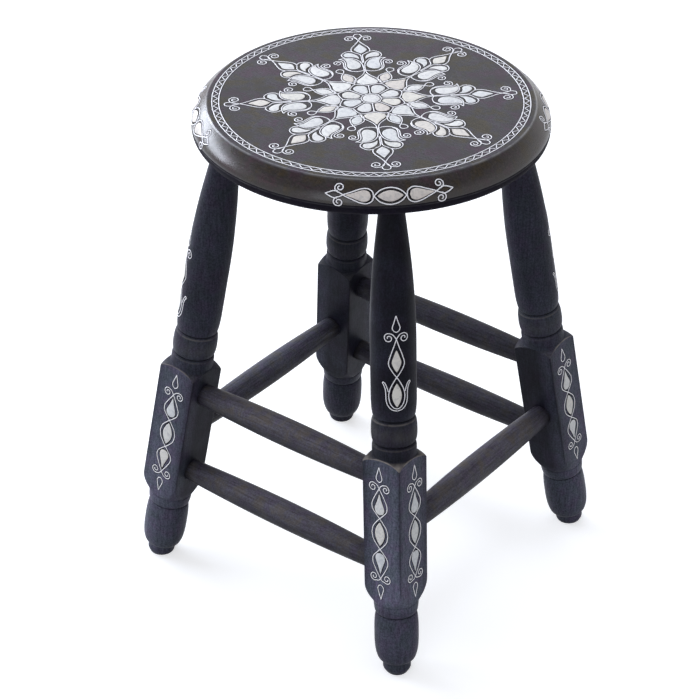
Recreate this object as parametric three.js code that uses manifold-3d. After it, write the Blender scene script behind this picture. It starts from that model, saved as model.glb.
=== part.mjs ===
// A low round stool in dark turned wood: a thick round seat with a flower star of bone let into its
// top, on four splayed legs turned from square stock and tied by six round rails.
// Millimetres, +Z up, the floor at zero. The double rails are at the front (-Y) and the back.
import * as THREE from 'three';
import { mergeVertices } from 'three/addons/utils/BufferGeometryUtils.js';
import Module from 'manifold-3d';

const wasm = await Module();
wasm.setup();

// Overall size
const seatHeight = 500;
const clearance = 0.3;
const overrun = 5;
const weld = 1e-4;

// Seat, a turned disc whose side slopes out from the flat top and rounds in again below
const seatRadius = 165;
const seatTopRadius = 150;
const seatFootRadius = 157;
const seatThickness = 30;
const seatWidestDepth = 20.5;
const arris = 1.2;
const sideDepthShares = [0.66, 0.32];
const seatSegments = 60;
const seatSteps = 4;

// Leg axes, measured from the middle of the stool along X and along Y
const legSpreadAtFloor = 150;
const legSpreadAtSeat = 92.5;

// Leg turning, section by section from the floor up, along the leg
const legSegments = 16;
const sectionSteps = 3;
const balusterSteps = 10;
const blockSide = 42.5;
const blockChamfer = 1.2;
const toeRadius = 13.4;
const toeSoleRadius = 10.5;
const toeHeight = 9;
const footHeight = 53;
const footRadius = 21.1;
const footHeelShare = 0.04;
const footMiddleShare = 0.47;
const footTopShare = 0.96;
const grooveHeight = 2;
const grooveRadius = 18;
const collarRadius = 20.9;
const lowerCollarHeight = 11;
const lowerShoulderHeight = 35;
const lowerShoulderShares = [0.5, 0.27];
const blockHeight = 106;
const upperShoulderHeight = 13;
const upperShoulderShares = [0.57, 0.88];
const upperCollarHeight = 11.5;
const ringHeight = 24;
const ringRadius = 21;
const balusterRadius = 21.1;
const balusterTopRadius = 11;
const balusterShares = [[0, 0.72], [0.035, 0.9], [0.09, 1], [0.27, 1], [0.44, 0.97], [0.62, 0.79],
  [0.8, 0.48], [1, 0]];

// Joints: round tenons in blind holes, each with its clearance all round
const legTenonRadius = 8;
const legTenonLength = 20;
const railTenonRadius = 8;
const railTenonLength = 26;
const tenonSegments = 12;

// Rails, swelling from each end to the middle
const frontBackUpperHeight = 196;
const frontBackLowerHeight = 107.5;
const leftRightHeight = 143;
const railMiddleRadius = 13.5;
const railEndRadius = 10.7;
const railSteps = 6;
const railSegments = 12;

// Bone inlay of the seat top: eight arms, 45 degrees apart, four of them over the legs. The whole star is
// turned a little, as it was laid out by hand.
const arms = 8;
const starTurnDegrees = -1.9;
const inlayThickness = 1.6;
const centreRadius = 7.8;
const innerPetal = { start: 11.2, length: 16.3, halfWidth: 6 };
const innerPetalShares = [[0, 0], [0.07, 0.42], [0.4, 0.78], [0.74, 1], [0.95, 0.62], [1, 0]];
const shieldPetal = { start: 28.3, length: 21, halfWidth: 9 };
const shieldPetalShares = [[0, 0], [0.08, 0.5], [0.16, 0.96], [0.4, 0.84], [0.68, 0.38], [1, 0]];
const tipLeaf = { start: 93.3, length: 18.5, halfWidth: 5.5 };
const tipLeafShares = [[0, 0], [0.22, 0.7], [0.43, 1], [0.66, 0.6], [1, 0]];
const comma = { start: 60.2, length: 21.6, inside: 3, height: 14.2 };
const commaShares = [[1, 1], [0.95, 0.5], [0.74, 0.12], [0.38, 0], [0.07, 0.25], [0, 0.56], [0.13, 0.87],
  [0.42, 0.93], [0.74, 0.85]];
const outlineSteps = 5;

// Silvery wire let in round the rim of the top, as two rings
const borderInset = 4;
const borderWidth = 7.5;
const wireWidth = 1.2;
const wireDepth = 1.2;

// Bone almond in the sloping side of the seat, one over each leg
const almondLength = 21.8;
const almond = { start: -almondLength / 2, length: almondLength, halfWidth: 4.5 };
const almondShares = [[0, 0], [0.2, 0.64], [0.5, 1], [0.8, 0.64], [1, 0]];
const almondPlaceShare = 0.47;

// Places worked out from the sizes above
const seatUnderside = seatHeight - seatThickness;
const splay = Math.atan2((legSpreadAtFloor - legSpreadAtSeat) * Math.SQRT2, seatUnderside);
const legLength = seatUnderside / Math.cos(splay);
const halfBlock = blockSide / 2;
const outerWireRadius = seatTopRadius - borderInset;
const innerWireRadius = outerWireRadius - borderWidth + wireWidth;
const starTurn = THREE.MathUtils.degToRad(starTurnDegrees);

const darkWood = { color: 0x2b2c33, roughness: 0.45, metalness: 0 };
const seatWood = { color: 0x4a464a, roughness: 0.4, metalness: 0 };
const bone = { color: 0xe9e6dc, roughness: 0.35, metalness: 0 };
const silveryWire = { color: 0xc9cbd0, roughness: 0.3, metalness: 1 };

const stool = new THREE.Group();

// A closed geometry as a solid, in the place that the matrix gives it
function solidOf(geometry, matrix = new THREE.Matrix4()) {
  const bare = geometry.clone().applyMatrix4(matrix);
  bare.deleteAttribute('normal');
  bare.deleteAttribute('uv');
  const merged = mergeVertices(bare, weld);
  const corners = merged.index.array;
  const triangles = [];
  for (let i = 0; i < corners.length; i += 3) {
    const [a, b, c] = [corners[i], corners[i + 1], corners[i + 2]];
    if (a !== b && b !== c && c !== a) triangles.push(a, b, c);
  }
  return new wasm.Manifold(new wasm.Mesh({
    numProp: 3,
    vertProperties: merged.attributes.position.array,
    triVerts: Uint32Array.from(triangles),
  }));
}

// Adds a solid, worked out in the stool's frame, as a mesh that its matrix places
function addPiece(name, solid, finish, matrix = new THREE.Matrix4()) {
  const result = solid.getMesh();
  const geometry = new THREE.BufferGeometry();
  geometry.setAttribute('position', new THREE.BufferAttribute(result.vertProperties, 3));
  geometry.setIndex(new THREE.BufferAttribute(result.triVerts, 1));
  geometry.applyMatrix4(matrix.clone().invert());
  geometry.computeVertexNormals();
  const mesh = new THREE.Mesh(geometry, new THREE.MeshStandardMaterial(finish));
  mesh.name = name;
  mesh.applyMatrix4(matrix);
  stool.add(mesh);
}

// A profile of [radius, height] points, from its lowest to its highest, turned about the Z axis
function turned(profile, segments) {
  const points = profile.map(([radius, height]) => new THREE.Vector2(radius, height));
  return new THREE.LatheGeometry(points, segments).rotateX(Math.PI / 2);
}

function rod(radius, from, to, segments) {
  return turned([[0, from], [radius, from], [radius, to], [0, to]], segments);
}

// A ring of square section, turned about the Z axis
function turnedRing(inside, outside, from, to, segments) {
  return turned([[outside, from], [outside, to], [inside, to], [inside, from], [outside, from]], segments);
}

function plate(points, from, to) {
  const shape = new THREE.Shape(points);
  return new THREE.ExtrudeGeometry(shape, { depth: to - from, bevelEnabled: false }).translate(0, 0, from);
}

// Moves each side of a closed outline outwards by a distance, with its corners mitred
function grown(points, distance) {
  const turn = Math.sign(THREE.ShapeUtils.area(points));
  return points.map((point, i) => {
    const before = points[(i + points.length - 1) % points.length];
    const after = points[(i + 1) % points.length];
    const first = point.clone().sub(before).normalize();
    const second = after.clone().sub(point).normalize();
    const normalSum = new THREE.Vector2(first.y + second.y, -first.x - second.x);
    const stretch = 2 / Math.max(normalSum.lengthSq(), 0.5);
    return point.clone().addScaledVector(normalSum, turn * distance * stretch);
  });
}

// The outline of a leaf that lies along X, from a curve of half its width and that curve's mirror image
function leafOutline({ start, length, halfWidth }, shares) {
  const half = new THREE.SplineCurve(shares.map(([along, across]) => (
    new THREE.Vector2(start + along * length, -across * halfWidth))));
  const lower = half.getPoints(outlineSteps);
  const upper = lower.slice(1, -1).reverse().map((point) => new THREE.Vector2(point.x, -point.y));
  return [...lower, ...upper];
}

// The outline of a comma, round at its foot and pointed at its outer corner, on one side of the arm
function commaOutline(side) {
  const points = commaShares.map(([along, across]) => new THREE.Vector2(
    comma.start + along * comma.length, side * (comma.inside + across * comma.height)));
  return side > 0 ? points.reverse() : points;
}

// The sloping side of the seat, from its widest line up to the arris of the flat top
const sideCurve = new THREE.CubicBezierCurve(
  new THREE.Vector2(seatRadius, seatHeight - seatWidestDepth),
  new THREE.Vector2(seatRadius, seatHeight - seatWidestDepth * sideDepthShares[0]),
  new THREE.Vector2((seatRadius + seatTopRadius) / 2 + arris, seatHeight - seatWidestDepth * sideDepthShares[1]),
  new THREE.Vector2(seatTopRadius + arris, seatHeight - arris),
);

// The seat's section, from the axis on the underside round the rim to the axis on the top
function seatProfile() {
  const rim = new THREE.Path();
  rim.moveTo(seatFootRadius, seatUnderside);
  rim.quadraticCurveTo(seatRadius, seatUnderside, seatRadius, seatHeight - seatWidestDepth);
  rim.curves.push(sideCurve);
  rim.currentPoint.copy(sideCurve.v3);
  rim.lineTo(seatTopRadius, seatHeight);
  const points = rim.getPoints(seatSteps).map((point) => [point.x, point.y]);
  return [[0, seatUnderside], ...points, [0, seatHeight]];
}

// The leg's section along its own axis, from under the floor to over the seat's underside
function legProfile() {
  const cornerReach = halfBlock * Math.SQRT2 + overrun;
  const outline = new THREE.Path();
  outline.moveTo(toeSoleRadius, -overrun);
  outline.lineTo(toeSoleRadius, 0);
  outline.quadraticCurveTo(toeRadius, 0, toeRadius, toeHeight / 2);
  outline.lineTo(toeRadius, toeHeight);
  let height = toeHeight;
  outline.quadraticCurveTo(footRadius, height + footHeight * footHeelShare, footRadius,
    height + footHeight * footMiddleShare);
  outline.quadraticCurveTo(footRadius, height + footHeight * footTopShare, grooveRadius, height + footHeight);
  height += footHeight + grooveHeight;
  outline.lineTo(grooveRadius, height);
  outline.quadraticCurveTo(collarRadius, height, collarRadius, height + grooveHeight);
  height += lowerCollarHeight;
  outline.lineTo(collarRadius, height);
  const [outShare, upShare] = lowerShoulderShares;
  outline.quadraticCurveTo(collarRadius + (cornerReach - collarRadius) * outShare,
    height + lowerShoulderHeight * upShare, cornerReach, height + lowerShoulderHeight);
  height += lowerShoulderHeight + blockHeight;
  outline.lineTo(cornerReach, height);
  const [overShare, riseShare] = upperShoulderShares;
  outline.quadraticCurveTo(collarRadius + (cornerReach - collarRadius) * overShare,
    height + upperShoulderHeight * riseShare, collarRadius, height + upperShoulderHeight);
  height += upperShoulderHeight + upperCollarHeight;
  outline.lineTo(collarRadius, height - grooveHeight);
  outline.lineTo(grooveRadius, height);
  outline.lineTo(grooveRadius, height + grooveHeight);
  height += grooveHeight;
  outline.quadraticCurveTo(ringRadius, height, ringRadius, height + ringHeight / 2);
  outline.quadraticCurveTo(ringRadius, height + ringHeight, grooveRadius, height + ringHeight);
  height += ringHeight + grooveHeight;
  const balusterLength = legLength + overrun - height;
  const baluster = new THREE.SplineCurve(balusterShares.map(([along, across]) => new THREE.Vector2(
    balusterTopRadius + across * (balusterRadius - balusterTopRadius), height + along * balusterLength)));
  const lower = outline.getPoints(sectionSteps).map((point) => [point.x, point.y]);
  const upper = baluster.getPoints(balusterSteps).map((point) => [point.x, point.y]);
  return [[0, -overrun], ...lower, ...upper, [0, legLength + overrun]];
}

// Each leg stands at a corner of a square and leans in to the seat
const legs = [];
for (const [name, sideX, sideY] of [['leg_front_left', -1, -1], ['leg_front_right', 1, -1],
  ['leg_back_left', -1, 1], ['leg_back_right', 1, 1]]) {
  const foot = new THREE.Vector3(sideX * legSpreadAtFloor, sideY * legSpreadAtFloor, 0);
  const head = new THREE.Vector3(sideX * legSpreadAtSeat, sideY * legSpreadAtSeat, seatUnderside);
  const lean = new THREE.Quaternion().setFromUnitVectors(new THREE.Vector3(0, 0, 1),
    head.clone().sub(foot).normalize());
  const matrix = new THREE.Matrix4().compose(foot, lean, new THREE.Vector3(1, 1, 1));
  legs.push({ name, sideX, sideY, matrix });
}

// A length of the square stock, its corners eased, grown all round by a gap
function squareStock(gap) {
  const half = halfBlock + gap;
  const flat = half - blockChamfer;
  const corners = [[half, -flat], [half, flat], [flat, half], [-flat, half], [-half, flat], [-half, -flat],
    [-flat, -half], [flat, -half]];
  return plate(corners.map(([x, y]) => new THREE.Vector2(x, y)), -overrun, legLength + overrun);
}

// Half the distance between two leg axes at a height above the floor
function spreadAt(height) {
  return legSpreadAtFloor + (legSpreadAtSeat - legSpreadAtFloor) * height / seatUnderside;
}

// A rail lies along X at the front and back, and along Y at the left and right
const rails = [
  { name: 'rail_front_upper', height: frontBackUpperHeight, alongX: true, side: -1 },
  { name: 'rail_front_lower', height: frontBackLowerHeight, alongX: true, side: -1 },
  { name: 'rail_back_upper', height: frontBackUpperHeight, alongX: true, side: 1 },
  { name: 'rail_back_lower', height: frontBackLowerHeight, alongX: true, side: 1 },
  { name: 'rail_left', height: leftRightHeight, alongX: false, side: -1 },
  { name: 'rail_right', height: leftRightHeight, alongX: false, side: 1 },
];
for (const rail of rails) {
  const spread = spreadAt(rail.height);
  rail.reach = spread;
  const place = rail.alongX ? new THREE.Vector3(0, rail.side * spread, rail.height)
    : new THREE.Vector3(rail.side * spread, 0, rail.height);
  const turn = rail.alongX ? new THREE.Euler(0, Math.PI / 2, 0) : new THREE.Euler(-Math.PI / 2, 0, 0);
  rail.matrix = new THREE.Matrix4().compose(place, new THREE.Quaternion().setFromEuler(turn),
    new THREE.Vector3(1, 1, 1));
}

// The tenons at both ends of a rail as one rod through its length, grown by a gap
function railRod(rail, gap) {
  const end = rail.reach - halfBlock + railTenonLength + gap;
  return solidOf(rod(railTenonRadius + gap, -end, end, tenonSegments), rail.matrix);
}

// A rail meets the two legs on its own side of the stool
function meets(rail, leg) {
  return rail.side === (rail.alongX ? leg.sideY : leg.sideX);
}

// The tenon on top of a leg, grown by a gap
function legTenon(leg, gap) {
  return solidOf(rod(legTenonRadius + gap, legLength - overrun, legLength + legTenonLength + gap,
    tenonSegments), leg.matrix);
}

// A slab far wider than the stool, for cutting level
function slab(from, to) {
  const half = seatRadius + legSpreadAtFloor;
  const corners = [[1, 1], [-1, 1], [-1, -1], [1, -1]];
  return solidOf(plate(corners.map(([x, y]) => new THREE.Vector2(x * half, y * half)), from, to));
}

const belowFloor = slab(-footHeight, 0);
const aboveUnderside = slab(seatUnderside - clearance, seatHeight + overrun);

for (const leg of legs) {
  let solid = solidOf(turned(legProfile(), legSegments), leg.matrix)
    .intersect(solidOf(squareStock(0), leg.matrix))
    .subtract(belowFloor)
    .subtract(aboveUnderside)
    .add(legTenon(leg, 0));
  for (const rail of rails.filter((each) => meets(each, leg))) {
    solid = solid.subtract(railRod(rail, clearance));
  }
  addPiece(leg.name, solid, darkWood, leg.matrix);
}

for (const rail of rails) {
  const half = rail.reach - halfBlock;
  const profile = [[0, -rail.reach], [railEndRadius, -rail.reach]];
  for (let i = 0; i <= railSteps; i += 1) {
    const share = i / railSteps;
    profile.push([railEndRadius + (railMiddleRadius - railEndRadius) * Math.sin(Math.PI * share),
      half * (2 * share - 1)]);
  }
  profile.push([railEndRadius, rail.reach], [0, rail.reach]);
  let solid = solidOf(turned(profile, railSegments), rail.matrix);
  for (const leg of legs.filter((each) => meets(rail, each))) {
    solid = solid.subtract(solidOf(squareStock(clearance), leg.matrix));
  }
  addPiece(rail.name, solid.add(railRod(rail, 0)), darkWood, rail.matrix);
}

// The seat, with the sockets of the legs and a pocket for every inlay
let seat = solidOf(turned(seatProfile(), seatSegments));
for (const leg of legs) {
  seat = seat.subtract(legTenon(leg, clearance));
}

// Lets a flat piece of an outline into a face that lies at zero height in the matrix's frame. Where the
// face is not flat, the piece is trimmed to it.
const wood = seat;
function letIn(name, outline, matrix, finish, curved) {
  const floor = -inlayThickness - clearance;
  const pocket = solidOf(plate(grown(outline, clearance), floor, overrun), matrix);
  const blank = solidOf(plate(outline, -inlayThickness, curved ? overrun : 0), matrix);
  seat = seat.subtract(pocket);
  addPiece(name, curved ? blank.intersect(wood) : blank, finish, matrix);
}

const disc = new THREE.Path().absarc(0, 0, centreRadius, 0, 2 * Math.PI).getPoints(outlineSteps + 1);
letIn('star_centre', disc.slice(0, -1), new THREE.Matrix4().makeTranslation(0, 0, seatHeight), bone, false);
for (let arm = 0; arm < arms; arm += 1) {
  const onTop = (turns) => new THREE.Matrix4().makeRotationZ((2 * Math.PI * turns) / arms + starTurn)
    .setPosition(0, 0, seatHeight);
  const number = arm + 1;
  letIn(`star_inner_petal_${number}`, leafOutline(innerPetal, innerPetalShares), onTop(arm + 0.5), bone, false);
  letIn(`star_shield_petal_${number}`, leafOutline(shieldPetal, shieldPetalShares), onTop(arm), bone, false);
  letIn(`star_tip_leaf_${number}`, leafOutline(tipLeaf, tipLeafShares), onTop(arm), bone, false);
  letIn(`star_comma_left_${number}`, commaOutline(1), onTop(arm), bone, false);
  letIn(`star_comma_right_${number}`, commaOutline(-1), onTop(arm), bone, false);
}

for (const [name, radius] of [['border_wire_outer', outerWireRadius], ['border_wire_inner', innerWireRadius]]) {
  seat = seat.subtract(solidOf(turnedRing(radius - wireWidth - clearance, radius + clearance,
    seatHeight - wireDepth - clearance, seatHeight + overrun, seatSegments)));
  addPiece(name, solidOf(turnedRing(radius - wireWidth, radius, seatHeight - wireDepth, seatHeight,
    seatSegments)), silveryWire);
}

// The almonds lie in the side's own slope, in line with the arms of the star
const slope = sideCurve.getTangent(almondPlaceShare);
const onSide = sideCurve.getPoint(almondPlaceShare);
for (const leg of legs) {
  const bearing = Math.atan2(leg.sideY, leg.sideX) + starTurn;
  const outward = new THREE.Vector3(Math.cos(bearing), Math.sin(bearing), 0);
  const along = new THREE.Vector3(-outward.y, outward.x, 0);
  const up = outward.clone().multiplyScalar(slope.x).setZ(slope.y);
  const normal = new THREE.Vector3().crossVectors(along, up);
  const matrix = new THREE.Matrix4().makeBasis(along, up, normal)
    .setPosition(outward.clone().multiplyScalar(onSide.x).setZ(onSide.y));
  letIn(leg.name.replace('leg', 'side_almond'), leafOutline(almond, almondShares), matrix, bone, true);
}

addPiece('seat', seat, seatWood);

export default stool;
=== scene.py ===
# Round stool in dark turned wood, inlaid with bone and silvery wire. Metres, +Z up, same frame as the model.
import math
import bpy
import numpy as np
from mathutils import Matrix, Vector


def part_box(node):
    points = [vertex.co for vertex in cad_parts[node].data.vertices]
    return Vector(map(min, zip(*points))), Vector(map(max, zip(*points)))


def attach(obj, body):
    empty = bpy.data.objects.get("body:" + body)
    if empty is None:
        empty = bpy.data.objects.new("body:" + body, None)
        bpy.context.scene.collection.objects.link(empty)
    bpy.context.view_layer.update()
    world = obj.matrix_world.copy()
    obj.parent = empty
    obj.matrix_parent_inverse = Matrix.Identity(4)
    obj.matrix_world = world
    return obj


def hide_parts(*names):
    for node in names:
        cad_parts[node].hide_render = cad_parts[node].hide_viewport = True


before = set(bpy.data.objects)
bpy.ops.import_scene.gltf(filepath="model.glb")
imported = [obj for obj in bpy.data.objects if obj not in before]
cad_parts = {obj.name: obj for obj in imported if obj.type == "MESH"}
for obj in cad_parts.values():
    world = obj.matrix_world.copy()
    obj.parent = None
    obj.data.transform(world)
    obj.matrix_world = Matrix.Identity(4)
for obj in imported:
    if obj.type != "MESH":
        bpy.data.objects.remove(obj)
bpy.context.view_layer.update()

mm = 0.001
print("frame loaded,", len(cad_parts), "nodes")

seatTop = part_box("seat")[1][2] / mm  # sizes are in millimetres from here on
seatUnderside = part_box("seat")[0][2] / mm
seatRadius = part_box("seat")[1][0] / mm
woodTop = seatTop - 0.34  # the wood lies a hair below the inlays
legFoot, legHead = 150.0, 92.5  # a leg's middle line in X and in Y, at the floor and under the seat
legLean = (legFoot - legHead) / seatUnderside
legLength = seatUnderside * math.sqrt(1 + 2 * legLean ** 2)
halfBlock = 21.25  # half the width of the legs' square stock
starTurn = math.radians(-1.9)  # star and side ornaments are turned a little against the legs


# Materials

# A written sRGB colour as linear light: below the toe a straight line, above it a power of 2.4
def toLinear(hexColour):
    channels = [int(hexColour[i:i + 2], 16) / 255 for i in (1, 3, 5)]
    return [c / 12.92 if c <= 0.04045 else ((c + 0.055) / 1.055) ** 2.4 for c in channels] + [1.0]


# Adds a shader node. settings fill its properties, sockets and colour stops; links join other nodes to its
# sockets, named as in Blender or i and the socket's number.
def addNode(tree, kind, settings=None, **links):
    node = tree.nodes.new("ShaderNode" + kind)
    for key, value in (settings or {}).items():
        if key == "stops":
            stops, elements = list(value), node.color_ramp.elements
            while len(elements) < len(stops):
                elements.new(1.0)
            for element, (position, colour) in zip(elements, stops):
                element.position = position
                element.color = toLinear(colour) if isinstance(colour, str) else (colour, colour, colour, 1.0)
        elif hasattr(node, key):
            setattr(node, key, value)
        else:
            node.inputs[key].default_value = value
    for key, value in links.items():
        socket = node.inputs[int(key[1:])] if key[1:].isdigit() else node.inputs[key.replace("_", " ")]
        if isinstance(value, bpy.types.Node):
            value = value.outputs[2 if value.bl_idname == "ShaderNodeMix" else 0]
        if isinstance(value, bpy.types.NodeSocket):
            tree.links.new(value, socket)
        else:
            socket.default_value = value
    return node


# An empty material with its node tree, and Object coordinates for its patterns
def newMaterial(name):
    material = bpy.data.materials.new(name)
    material.use_nodes = True
    tree = material.node_tree
    tree.nodes.clear()
    return material, tree, addNode(tree, "TexCoord").outputs["Object"]


poreSize = 1.7  # in mm; real pores are finer, and this is the least that shows
# Near-black for painted shade in grooves, on arrises and low on the seat's side, and for the darker rail ends
dirtAndShadeBlack = "#08070a"


# Turned beech, stained almost black: the stain lies in clouds and drifts between purple, slate and olive,
# and fine grain runs along the piece. Three values on the mesh steer it. The first mixes in the bloom tone: the
# bluish bloom of old wax. On legs and rails it also paints light and shade, lighter on faces turned to the lamps
# and darker where shade falls. On the seat it gives the side its browner tone. Hue drift, grain and pores
# multiply it. The second mixes in the rubbed tone, in patches: real wear, and painted highlights on the seat's
# arrises and the legs' rings and shoulders. The third mixes in near-black: painted shade in grooves, on arrises
# and low on the seat's side, and darker rail ends at the blocks.
def stainedWood(name, wood):
    material, tree, place = newMaterial(name)
    stretch = addNode(tree, "Mapping", {"Scale": wood["stretch"]}, Vector=place)
    grain, clouds, hues, pores = (
        addNode(tree, "TexNoise", {"Scale": 1 / (size * mm), "Detail": detail, "Roughness": rough,
                "Distortion": bend}, Vector=at) for size, detail, rough, bend, at in (
            (wood["grainWidth"], 4, 0.65, 0, stretch), (wood["cloudSize"], 5, 0.62, 0.4, place),
            (wood["hueSize"], 3, 0.6, 0.3, place), (poreSize, 2, 0.7, 0, place)))
    haze, wear, dirt = (addNode(tree, "Attribute", {"attribute_name": key}).outputs["Fac"]
                        for key in ("haze", "wear", "dirt"))
    sheen = wood["roughness"]
    colour, drift, lines, specks, patches, rough = (
        addNode(tree, "ValToRGB", {"stops": zip(at, tones)}, Fac=noise) for noise, at, tones in (
            (clouds, (0.34, 0.5, 0.66), wood["stain"]), (hues, (0.38, 0.5, 0.62), wood["hues"]),
            (grain, (0.36, 0.5, 0.62), (wood["grainDark"], 1.0, wood["grainLight"])),
            (pores, (0.38, 0.52, 0.66), (0.5, 1.0, 1.35)), (hues, (0.38, 0.6), (0.35, 1)),
            (clouds, (0.35, 0.65), (sheen + 0.06, sheen - 0.05))))
    rubbedAndLit = addNode(tree, "Math", {"operation": "MULTIPLY"}, i0=wear, i1=patches)
    for blend, amount, layer in (
            ("MIX", haze, toLinear(wood["bloomAndPaintedLight"])), ("MULTIPLY", 1.0, drift), ("MULTIPLY", 1.0, lines),
            ("MULTIPLY", 0.6, specks), ("MIX", rubbedAndLit, toLinear(wood["wornAndHighlight"])),
            ("MIX", dirt, toLinear(dirtAndShadeBlack))):
        colour = addNode(tree, "Mix", {"data_type": "RGBA", "blend_type": blend}, i0=amount, i6=colour, i7=layer)
    bump = addNode(tree, "Bump", {"Strength": 0.4, "Distance": 0.12 * mm}, Height=grain)
    bump = addNode(tree, "Bump", {"Strength": 0.25, "Distance": 0.08 * mm}, Height=pores, Normal=bump)
    shader = addNode(tree, "BsdfPrincipled", {"IOR": 1.5, "Specular IOR Level": wood["specular"]},
                     Base_Color=colour, Roughness=rough, Normal=bump)
    addNode(tree, "OutputMaterial", Surface=shader)
    return material


# Tones, with the place of each on its tint or noise; streaks, file marks and grit in mm
boneFinish = {
    "tones": [(0, "#fbf9f5"), (0.25, "#f2f0ee"), (0.45, "#edeeee"), (0.6, "#f4efe5"), (0.8, "#eae0d8"),
              (1.0, "#e6dcc8")],
    "veins": [(0.32, "#d2d4da"), (0.55, "#ffffff")], "streaks": 3.5, "roughness": 0.32,
}
wireFinish = {
    "tones": [(0.3, "#faf6fc"), (0.6, "#fffeff")], "fileMarks": 1.5, "roughness": [(0.3, 0.4), (0.7, 0.6)],
    "metallic": 0.15,  # mostly diffuse: so fine a filed wire scatters light and mirrors no room
}
masticFinish = {"tones": [(0.3, "#0f0d10"), (0.7, "#1e1b20")], "grit": 0.9, "roughness": 0.85}


# Camel bone, sawn into plates and polished in place: off-white, each plate its own tint, times faint streaks,
# with a soft waxy gloss. tint, from 0 to 1, is a value on the mesh.
def polishedBone(name):
    material, tree, place = newMaterial(name)
    tint = addNode(tree, "Attribute", {"attribute_name": "tint"}).outputs["Fac"]
    plates = addNode(tree, "ValToRGB", {"stops": boneFinish["tones"]}, Fac=tint)
    streaks = addNode(tree, "TexNoise", {"Scale": 1 / (boneFinish["streaks"] * mm), "Detail": 4.0,
                      "Distortion": 0.8}, Vector=place)
    veins = addNode(tree, "ValToRGB", {"stops": boneFinish["veins"]}, Fac=streaks)
    colour = addNode(tree, "Mix", {"data_type": "RGBA", "blend_type": "MULTIPLY"}, i0=0.6, i6=plates, i7=veins)
    bump = addNode(tree, "Bump", {"Strength": 0.15, "Distance": 0.05 * mm}, Height=streaks)
    shader = addNode(tree, "BsdfPrincipled", {"IOR": 1.54, "Roughness": boneFinish["roughness"]},
                     Base_Color=colour, Normal=bump)
    addNode(tree, "OutputMaterial", Surface=shader)
    return material


# Tin-white wire, hammered in and filed: bright, its tone and gloss slightly broken by the file marks
def drawnWire(name):
    material, tree, place = newMaterial(name)
    filing = addNode(tree, "TexNoise", {"Scale": 1 / (wireFinish["fileMarks"] * mm), "Detail": 2.0}, Vector=place)
    rough = addNode(tree, "ValToRGB", {"stops": wireFinish["roughness"]}, Fac=filing)
    colour = addNode(tree, "ValToRGB", {"stops": wireFinish["tones"]}, Fac=filing)
    shader = addNode(tree, "BsdfPrincipled", {"Metallic": wireFinish["metallic"]}, Base_Color=colour,
                     Roughness=rough)
    addNode(tree, "OutputMaterial", Surface=shader)
    return material


# Carved bed filled with dark mastic: almost black grit, with no gloss
def darkMastic(name):
    material, tree, place = newMaterial(name)
    grit = addNode(tree, "TexNoise", {"Scale": 1 / (masticFinish["grit"] * mm), "Detail": 2.0}, Vector=place)
    colour = addNode(tree, "ValToRGB", {"stops": masticFinish["tones"]}, Fac=grit)
    shader = addNode(tree, "BsdfPrincipled", {"Roughness": masticFinish["roughness"],
                     "Specular IOR Level": 0.1}, Base_Color=colour)
    addNode(tree, "OutputMaterial", Surface=shader)
    return material


# In mm; real beech grain is finer, and 1.9 mm is the least that shows at this distance. stretch below 1 draws
# the grain out along that axis. grainDark and grainLight multiply the colour in its lines.
# The bloom tone is that of wax bloom, and it also paints light and shade. The worn tone is the rubbed tone, and
# it also paints highlights on the seat's arrises and on the legs' rings and shoulders.
legFinish = {
    "stain": ("#17161c", "#1e1d26", "#292934"), "bloomAndPaintedLight": "#7e7e8d", "wornAndHighlight": "#a0978f",
    "hues": ("#e4d8e8", "#dcdfe6", "#d4dfdd"), "hueSize": 16, "cloudSize": 38,
    "stretch": (1.0, 1.0, 0.07), "grainWidth": 1.9, "grainDark": 0.76, "grainLight": 1.18,
    "roughness": 0.46, "specular": 0.06,
}
railFinish = {
    "stain": ("#232229", "#2b2a31", "#38353b"), "bloomAndPaintedLight": "#6a6c79", "wornAndHighlight": "#7d6d61",
    "hues": ("#e2d2e4", "#d9dce6", "#dad7cc"), "hueSize": 13, "cloudSize": 26,
    "stretch": (0.07, 1.0, 1.0), "grainWidth": 1.9, "grainDark": 0.62, "grainLight": 1.3,
    "roughness": 0.5, "specular": 0.15,
}
seatFinish = {
    "stain": ("#38363c", "#434147", "#4e4b52"), "bloomAndPaintedLight": "#3a3230", "wornAndHighlight": "#aeacae",
    "hues": ("#ecbae2", "#d8dae2", "#e2d29e"), "hueSize": 21, "cloudSize": 48,
    "stretch": (0.2, 1.0, 1.0), "grainWidth": 1.9, "grainDark": 0.72, "grainLight": 1.25,
    "roughness": 0.25, "specular": 0.5,
}
# The dull lower round and underside: less gloss, and a much darker stain as painted shade
dullShadedFinish = {**seatFinish, "stain": ("#131117", "#1a181f", "#24222a"), "bloomAndPaintedLight": "#1d1a23",
              "hues": ("#e4dcf0", "#dcdde6", "#d8dbe0"), "roughness": 0.7, "specular": 0.06}
legWood = stainedWood("turned beech, stained and waxed", legFinish)
railWoodX = stainedWood("turned beech, stained, rails along X", railFinish)
railWoodY = stainedWood("turned beech, stained, rails along Y", {**railFinish, "stretch": (1.0, 0.07, 1.0)})
seatWood = stainedWood("turned beech, stained and varnished", seatFinish)
dullShadedSeatWood = stainedWood("turned beech, stained, dull and painted darker below", dullShadedFinish)
bone = polishedBone("camel bone, sawn and polished")
silveryWire = drawnWire("tin alloy wire, hammered in and filed")
mastic = darkMastic("black mastic, scraped flush")
print("materials made")


# Meshes: surfaces come as grids of points and are put in as whole arrays

# A new object in the scene, at the origin
def addObject(name, data):
    piece = bpy.data.objects.new(name, data)
    bpy.context.scene.collection.objects.link(piece)
    return piece


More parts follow.
